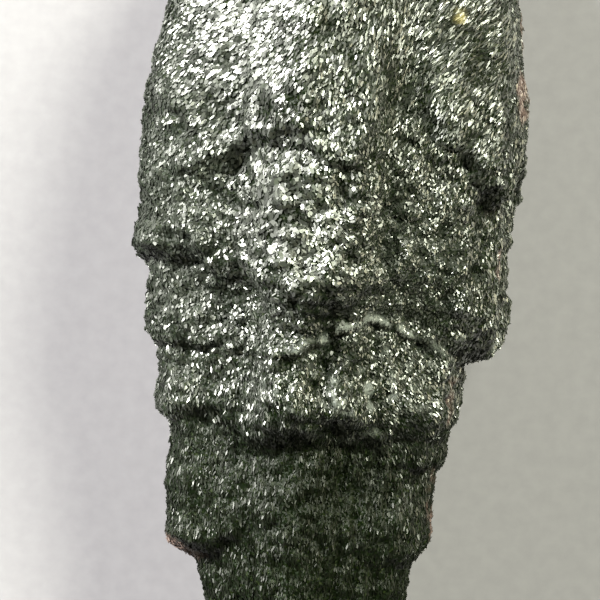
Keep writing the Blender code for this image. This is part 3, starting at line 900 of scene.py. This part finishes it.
# %% Points on the crust
def scattered_points(tree, given):
    place = add(tree, "ShaderNodeSeparateXYZ", {0: add(tree, "GeometryNodeInputPosition").outputs[0]})
    above = add(tree, "FunctionNodeCompare", {0: place.outputs[1], 1: given["Start"]},
                operation="GREATER_EQUAL")
    below = add(tree, "FunctionNodeCompare", {0: place.outputs[1], 1: given["End"]}, operation="LESS_THAN")
    both = add(tree, "FunctionNodeBooleanMath", {0: above.outputs[0], 1: below.outputs[0]})
    cover = add(tree, "GeometryNodeInputNamedAttribute", {"Name": given["Cover"]})
    density = add(tree, "ShaderNodeMath", {0: cover.outputs[0], 1: given["Plates per square mm"]},
                  operation="MULTIPLY")
    density = add(tree, "ShaderNodeMath", {0: density.outputs[0], 1: MM ** -2}, operation="MULTIPLY")
    return add(tree, "GeometryNodeDistributePointsOnFaces", {
        "Mesh": given["Crust"], "Selection": both.outputs[0],
        "Density": density.outputs[0], "Seed": given["Seed"],
    }).outputs


# %% [markdown]
# A plate is a low cone that stands on its point: a flat top, and sides that run to a root inside
# the crust, so it is closed and never floats. It is 1 across here, and takes its real size later.
# Every corner remembers its place on the plate, for the UV map.

# %% One plate
PLATE_DEPTH = 0.6
ROOT = -0.4  # where the point of its root is, which leaves the flat top 0.2 above the crust


def one_plate(tree, given):
    cone = add(tree, "GeometryNodeMeshCone", {
        "Vertices": given["Corners"], "Radius Top": 0.5, "Radius Bottom": 0.0, "Depth": PLATE_DEPTH,
    })
    rooted = add(tree, "GeometryNodeTransform", {"Geometry": cone.outputs["Mesh"],
                                                 "Translation": (0.0, 0.0, ROOT)})
    corner = add(tree, "GeometryNodeInputPosition").outputs[0]
    return add(tree, "GeometryNodeStoreNamedAttribute", {
        "Geometry": rooted.outputs[0], "Name": "shape", "Value": corner,
    }, data_type="FLOAT_VECTOR", domain="POINT").outputs[0]


# %% [markdown]
# A plate's size is the crust's own plate_size times a random share, and its width, length and
# height differ a little more. Where plates are drawn out, they are narrower too, because a
# crystal that grows long has less left for its width.

# %% The size of each plate
STRETCH_SEED = 100.0  # added to the seed, so that each random choice is a new one
LEAST_STRETCH = (0.4, 0.9, 0.8)  # across, along and in height
MOST_STRETCH = (0.9, 1.7, 1.2)
NARROWING = -0.5  # the power of the length that the width goes with


def plate_scale(tree, given):
    share = add(tree, "FunctionNodeRandomValue",
                {2: given["Least size"], 3: given["Most size"], "Seed": given["Seed"]})
    size = add(tree, "GeometryNodeInputNamedAttribute", {"Name": "plate_size"})
    size = add(tree, "ShaderNodeMath", {0: size.outputs[0], 1: share.outputs[1]}, operation="MULTIPLY")
    size = add(tree, "ShaderNodeMath", {0: size.outputs[0], 1: MM}, operation="MULTIPLY")
    seed = add(tree, "ShaderNodeMath", {0: given["Seed"], 1: STRETCH_SEED}, operation="ADD").outputs[0]
    stretch = add(tree, "FunctionNodeRandomValue",
                  {0: LEAST_STRETCH, 1: MOST_STRETCH, "Seed": seed}, data_type="FLOAT_VECTOR")
    length = add(tree, "GeometryNodeInputNamedAttribute", {"Name": "plate_length"}).outputs[0]
    width = add(tree, "ShaderNodeMath", {0: length, 1: NARROWING}, operation="POWER").outputs[0]
    longer = add(tree, "ShaderNodeCombineXYZ", {0: width, 1: length, 2: 1.0})
    stretch = add(tree, "ShaderNodeVectorMath", {0: stretch.outputs[0], 1: longer.outputs[0]},
                  operation="MULTIPLY")
    return add(tree, "ShaderNodeVectorMath", {0: stretch.outputs[0], "Scale": size.outputs[0]},
               operation="SCALE").outputs[0]


# %% [markdown]
# A plate starts flat on the crust with its long side along the axis. Then it leans and turns, a
# little on its own and more together with its neighbours: a bunch of plates leans one way, and
# the next bunch another way. That is what makes whole patches of the crust flash and others dark.

# %% The turn of each plate
TURN_SEED = 200.0
BUNCH_DETAIL = 1.5


def plate_rotation(tree, given, normal):
    flat = add(tree, "FunctionNodeAxesToRotation",
               {"Primary Axis": normal, "Secondary Axis": (0.0, 1.0, 0.0)},
               primary_axis="Z", secondary_axis="Y")
    tilt = add(tree, "GeometryNodeInputNamedAttribute", {"Name": "plate_tilt"}).outputs[0]
    spread = add(tree, "GeometryNodeInputNamedAttribute", {"Name": "turn_spread"}).outputs[0]
    most = add(tree, "ShaderNodeCombineXYZ", {0: tilt, 1: tilt, 2: spread})
    seed = add(tree, "ShaderNodeMath", {0: given["Seed"], 1: TURN_SEED}, operation="ADD").outputs[0]
    alone = add(tree, "FunctionNodeRandomValue",
                {0: (-1.0, -1.0, -1.0), 1: (1.0, 1.0, 1.0), "Seed": seed}, data_type="FLOAT_VECTOR")
    alone = add(tree, "ShaderNodeVectorMath", {0: alone.outputs[0], 1: most.outputs[0]},
                operation="MULTIPLY")

    # The way of a bunch is the colour of a soft noise, which is the same for all of its plates
    place = add(tree, "GeometryNodeInputPosition").outputs[0]
    in_mm = add(tree, "ShaderNodeVectorMath", {0: place, "Scale": 1.0 / MM}, operation="SCALE").outputs[0]
    bunches = add(tree, "ShaderNodeMath", {0: 1.0, 1: given["Bunch size"]}, operation="DIVIDE").outputs[0]
    ways = add(tree, "ShaderNodeTexNoise", {"Vector": in_mm, "Scale": bunches, "Detail": BUNCH_DETAIL})
    ways = add(tree, "ShaderNodeVectorMath", {0: ways.outputs["Color"], 1: (0.5, 0.5, 0.5)},
               operation="SUBTRACT").outputs[0]
    lean = add(tree, "ShaderNodeMath", {0: tilt, 1: given["Bunch lean"]}, operation="MULTIPLY").outputs[0]
    ways = add(tree, "ShaderNodeVectorMath", {0: ways, "Scale": lean}, operation="SCALE").outputs[0]
    ways = add(tree, "ShaderNodeSeparateXYZ", {0: ways}).outputs
    turn = add(tree, "GeometryNodeInputNamedAttribute", {"Name": "plate_turn"}).outputs[0]
    together = add(tree, "ShaderNodeCombineXYZ", {0: ways[0], 1: ways[1], 2: turn})

    both = add(tree, "ShaderNodeVectorMath", {0: alone.outputs[0], 1: together.outputs[0]}, operation="ADD")
    leaned = add(tree, "FunctionNodeEulerToRotation", {0: both.outputs[0]})
    return add(tree, "FunctionNodeRotateRotation",
               {0: flat.outputs[0], 1: leaned.outputs[0]}, rotation_space="LOCAL").outputs[0]


# %% [markdown]
# Each plate gets a random tone, for its shade and its flash. The tree also lays out a UV map:
# plate number 0 gets the first little square of a grid, plate 1 the next, and so on, so that each
# plate has a colour of its own in a baked image too.

# %% Tone and UV map
TONE_SEED = 300.0
UV_SHARE = 0.6  # of its square, which a plate that is 1 across fills
UV_MIDDLE = 0.5


def toned_and_mapped(tree, given, placed):
    seed = add(tree, "ShaderNodeMath", {0: given["Seed"], 1: TONE_SEED}, operation="ADD").outputs[0]
    tone = add(tree, "FunctionNodeRandomValue", {2: 0.0, 3: 1.0, "Seed": seed})
    toned = add(tree, "GeometryNodeStoreNamedAttribute", {
        "Geometry": placed, "Name": "tone", "Value": tone.outputs[1],
    }, data_type="FLOAT", domain="INSTANCE")
    number = add(tree, "GeometryNodeInputIndex").outputs[0]
    side = given["Squares a side"]
    column = add(tree, "ShaderNodeMath", {0: number, 1: side}, operation="MODULO").outputs[0]
    row = add(tree, "ShaderNodeMath", {0: number, 1: side}, operation="DIVIDE").outputs[0]
    row = add(tree, "ShaderNodeMath", {0: row}, operation="FLOOR").outputs[0]
    square = add(tree, "ShaderNodeCombineXYZ", {0: column, 1: row})
    numbered = add(tree, "GeometryNodeStoreNamedAttribute", {
        "Geometry": toned.outputs[0], "Name": "square", "Value": square.outputs[0],
    }, data_type="FLOAT_VECTOR", domain="INSTANCE")

    # Plain mesh of all plates, each corner at its own spot in its plate's square
    made = add(tree, "GeometryNodeRealizeInstances", {0: numbered.outputs[0]})
    square = add(tree, "GeometryNodeInputNamedAttribute", {"Name": "square"}, data_type="FLOAT_VECTOR")
    shape = add(tree, "GeometryNodeInputNamedAttribute", {"Name": "shape"}, data_type="FLOAT_VECTOR")
    inside = add(tree, "ShaderNodeVectorMath",
                 {0: shape.outputs[0], 1: (UV_SHARE, UV_SHARE, 0.0), 2: (UV_MIDDLE, UV_MIDDLE, 0.0)},
                 operation="MULTIPLY_ADD")
    spot = add(tree, "ShaderNodeVectorMath", {0: square.outputs[0], 1: inside.outputs[0]}, operation="ADD")
    spot = add(tree, "ShaderNodeVectorMath", {0: spot.outputs[0], 1: side}, operation="DIVIDE")
    return add(tree, "GeometryNodeStoreNamedAttribute", {
        "Geometry": made.outputs[0], "Name": "OFBake", "Value": spot.outputs[0],
    }, data_type="FLOAT2", domain="CORNER").outputs[0]


# %% [markdown]
# Now the parts join. A plate's faces stay sharp, because a real one is flat.

# %% The whole tree
def scatter_tree():
    tree = new_scatter()
    given = add(tree, "NodeGroupInput").outputs
    points = scattered_points(tree, given)
    placed = add(tree, "GeometryNodeInstanceOnPoints", {
        "Points": points["Points"], "Instance": one_plate(tree, given),
        "Rotation": plate_rotation(tree, given, points["Normal"]), "Scale": plate_scale(tree, given),
    })
    mapped = toned_and_mapped(tree, given, placed.outputs[0])
    sharp = add(tree, "GeometryNodeSetShadeSmooth", {"Geometry": mapped, "Shade Smooth": False})
    dressed = add(tree, "GeometryNodeSetMaterial",
                  {"Geometry": sharp.outputs[0], "Material": given["Finish"]})
    add(tree, "NodeGroupOutput", {0: dressed.outputs[0]})
    return tree


SCATTER = scatter_tree()
print("scatter tree:", len(SCATTER.nodes), "nodes")

# %% [markdown]
# ## Dividing the crust
#
# A piece may have 200,000 triangles, and there are more plates than that allows. There are many
# plates, so the crust is cut across the axis into bands with the same number of plates each. The
# borders are worked out from the area of the faces and the cover on them. Scattered one band at
# a time, the same tree then makes a piece for each.

# %% The bands
BANDS = ("plates_stem", "plates_ledges", "plates_head_low", "plates_head_high", "plates_tip")
PLATES_IN_A_BAND = 23500


def read(items, name, width, kind=np.float32):
    """One value or vector for each of a mesh's parts, as an array."""
    found = np.empty(len(items) * width, kind)
    items.foreach_get(name, found)
    return found.reshape(-1, width) if width > 1 else found


def borders(mesh, name, count):
    """Places along Y that divide a cover on the mesh into equal parts, and the covered area in mm2."""
    middles = read(mesh.polygons, "center", 3)[:, 1]
    areas = read(mesh.polygons, "area", 1)
    corners = read(mesh.loops, "vertex_index", 1, np.int32)
    firsts = read(mesh.polygons, "loop_start", 1, np.int32)
    cover = read(mesh.attributes[name].data, "value", 1)[corners[firsts]] * areas
    order = np.argsort(middles)
    summed = np.cumsum(cover[order])
    cuts = np.searchsorted(summed, summed[-1] * np.arange(1, count) / count)
    ends = [-1.0] + [float(middles[order][c]) for c in cuts] + [1.0]
    return ends, float(summed[-1]) / MM**2


ENDS, COVERED = borders(crust.data, "cover", len(BANDS))
PER_SQUARE_MM = PLATES_IN_A_BAND * len(BANDS) / COVERED
print("covered:", round(COVERED), "square mm, plates per square mm:", round(PER_SQUARE_MM, 1))

# %% [markdown]
# A copy of the crust gets the tree as a modifier, its inputs are set by their identifiers, and the
# mesh that comes out is kept as a plain piece. The copy goes, and so do the attributes that only
# the tree needed.

# %% Scattering
SPARE = (
    "square", "shape", "plate_size", "plate_length", "plate_tilt", "plate_turn", "turn_spread",
    "cover", "coarse_cover",
)


def scatter(name, **chosen):
    """Makes one piece of plates with the tree, as plain mesh."""
    source = show(name + "_source", crust.data.copy())
    nodes = source.modifiers.new("plates", "NODES")
    nodes.node_group = SCATTER
    for socket in SCATTER.interface.items_tree:
        key = socket.name.lower().replace(" ", "_")
        if key in chosen:
            nodes[socket.identifier] = chosen[key]
    deps = bpy.context.evaluated_depsgraph_get()
    mesh = bpy.data.meshes.new_from_object(source.evaluated_get(deps), depsgraph=deps)
    mesh.name = name
    bpy.data.objects.remove(source)
    piece = show(name, mesh)
    for spare in SPARE:
        if spare in mesh.attributes:
            mesh.attributes.remove(mesh.attributes[spare])
    corners = read(mesh.polygons, "loop_total", 1, np.int32)
    print(name, "has", int((corners - 2).sum()), "triangles")
    return piece


plates = [
    scatter(name, plates_per_square_mm=PER_SQUARE_MM, start=low, end=high, seed=number, finish=PLATES)
    for number, (name, low, high) in enumerate(zip(BANDS, ENDS, ENDS[1:]), start=1)
]

# %% [markdown]
# A few thousand larger plates lie on top of the small ones where the crust is coarse. The same
# tree makes them from another cover.

# %% The large plates
LARGE_PLATES = 3000
LARGE_SEED = 9
LARGE_AREA = borders(crust.data, "coarse_cover", 1)[1]
plates.append(scatter(
    "plates_large", cover="coarse_cover", plates_per_square_mm=LARGE_PLATES / LARGE_AREA,
    least_size=0.9, most_size=1.7, corners=6, squares_a_side=60, seed=LARGE_SEED, finish=PLATES,
))

# %% [markdown]
# ## The floor
#
# The crystal lies on a plain pale floor: matt paper, neutral to the eye. The lamps are a little
# warm, so the paper itself is a little cool.

# %% The floor
FLOOR_SIDE = 4.0
FLOOR_GAP = 0.01  # mm, so that the floor and the contact face don't flicker into each other
FIBRES_IN_A_MM = 0.9  # coarser than real paper's, which are too fine to show here


def pale_floor():
    shape = bmesh.new()
    bmesh.ops.create_grid(shape, x_segments=1, y_segments=1, size=FLOOR_SIDE / 2.0)
    mesh = bpy.data.meshes.new("floor")
    shape.to_mesh(mesh)
    shape.free()
    floor = show("floor", mesh)
    floor.location.z = -FLOOR_GAP * MM
    made, tree, shader = new_material("matt_paper")
    where = add(tree, "ShaderNodeTexCoord").outputs["Object"]
    fibres = add(tree, "ShaderNodeTexNoise", {"Vector": where, "Scale": FIBRES_IN_A_MM / MM, "Detail": 3.0})
    shade = add(tree, "ShaderNodeValToRGB", {0: fibres.outputs[0]})
    set_ramp(shade, ((0.3, "#918e96"), (0.7, "#97949c")))
    tree.links.new(shade.outputs[0], shader.inputs["Base Color"])
    shader.inputs["Roughness"].default_value = 0.9
    mesh.materials.append(made)
    return floor


floor = pale_floor()
print("floor:", FLOOR_SIDE, "m a side")

# %% [markdown]
# ## The light
#
# Glitter needs one strong light from one side. A large lamp low on the left rakes across the
# crust, so that every plate which happens to lean its way lights up white and the creases stay
# dark. Three weaker ones keep the rest open: a fill from the upper right, a faint one from the
# stem's end, and one low on the right, which draws the right flank's edge. An even light from
# all round would be simpler, but then no plate would stand out.

# %% The lamps
LAMPS_AIM = (0.0, -8.0, AXIS_HEIGHT)


def lamp(name, place, size, watts, colour):
    """A round area lamp at a place in mm, that faces the middle of the crystal."""
    light = bpy.data.lights.new(name, "AREA")
    light.shape = "DISK"
    light.size = size * MM
    light.energy = watts
    light.color = linear(colour)[:3]
    thing = bpy.data.objects.new(name, light)
    thing.location = Vector(place) * MM
    aim = Vector(LAMPS_AIM) * MM - thing.location
    thing.rotation_euler = aim.to_track_quat("-Z", "Y").to_euler()
    thing.visible_camera = False
    bpy.context.scene.collection.objects.link(thing)
    print("lamp", name, "has", watts, "W, from", round(aim.length, 2), "m")


lamp("key", (-975.0, 600.0, 555.0), 450.0, 68.0, "#fefff4")
lamp("fill", (570.0, 720.0, 870.0), 510.0, 31.0, "#fbffe6")
lamp("front", (-150.0, -1000.0, 330.0), 500.0, 0.8, "#fbffd2")
lamp("right_edge", (900.0, 120.0, 180.0), 480.0, 3.4, "#fff8cf")

# %% [markdown]
# The room round them is nearly dark. The Standard view shows the materials' colours as they are,
# and lets the flashes go to full white, as they do in a photo.

# %% The room
ROOM_LIGHT = 0.02
world = bpy.data.worlds.new("studio")
bpy.context.scene.world = world
world.use_nodes = True
room = world.node_tree.nodes["Background"].inputs
room["Color"].default_value = linear("#d2d6c8")
room["Strength"].default_value = ROOM_LIGHT
bpy.context.scene.view_settings.view_transform = "Standard"
print("room light:", ROOM_LIGHT)

# %% [markdown]
# ## The camera
#
# The camera looks straight down on the crystal through a long lens, as close-up photos are taken,
# so that the flanks don't fan out. The crystal leans a few degrees in the picture, and its tip and
# its stem's end are cut off. The distance follows from the width that the picture shows.

# %% The camera
LENS = 180.0
SENSOR = 36.0
NEAREST = 0.01  # metres from the lens that it still sees
PICTURE_WIDTH = 46.8  # mm of the crystal, at the height of its axis
ROLL = math.radians(4.7)
CENTRE = (-1.80, -11.47)

eye = bpy.data.cameras.new("camera")
eye.lens = LENS
eye.sensor_width = SENSOR
eye.clip_start = NEAREST
camera = bpy.data.objects.new("camera", eye)
distance = PICTURE_WIDTH * LENS / SENSOR
camera.location = Vector((CENTRE[0], CENTRE[1], AXIS_HEIGHT + distance)) * MM
camera.rotation_euler = (0.0, 0.0, ROLL)
bpy.context.scene.collection.objects.link(camera)
bpy.context.scene.camera = camera
print("camera", round(distance), "mm above the axis")

# %% [markdown]
# ## Putting it together
#
# The crust and the plates ride on the crystal's one body, and together they stand for the plain
# solid. The two boxes, of the solid and of the dressed crystal, are printed.

# %% The last step
for piece in [crust] + plates:
    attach(piece, "root")
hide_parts("scepter_crystal")
floor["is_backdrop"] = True

boxes = {"cad": [list(corner) for corner in CAD_BOX], "visual": [list(corner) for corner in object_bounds()]}
print("boxes, mm:", {k: [[round(c / MM, 1) for c in corner] for corner in v] for k, v in boxes.items()})
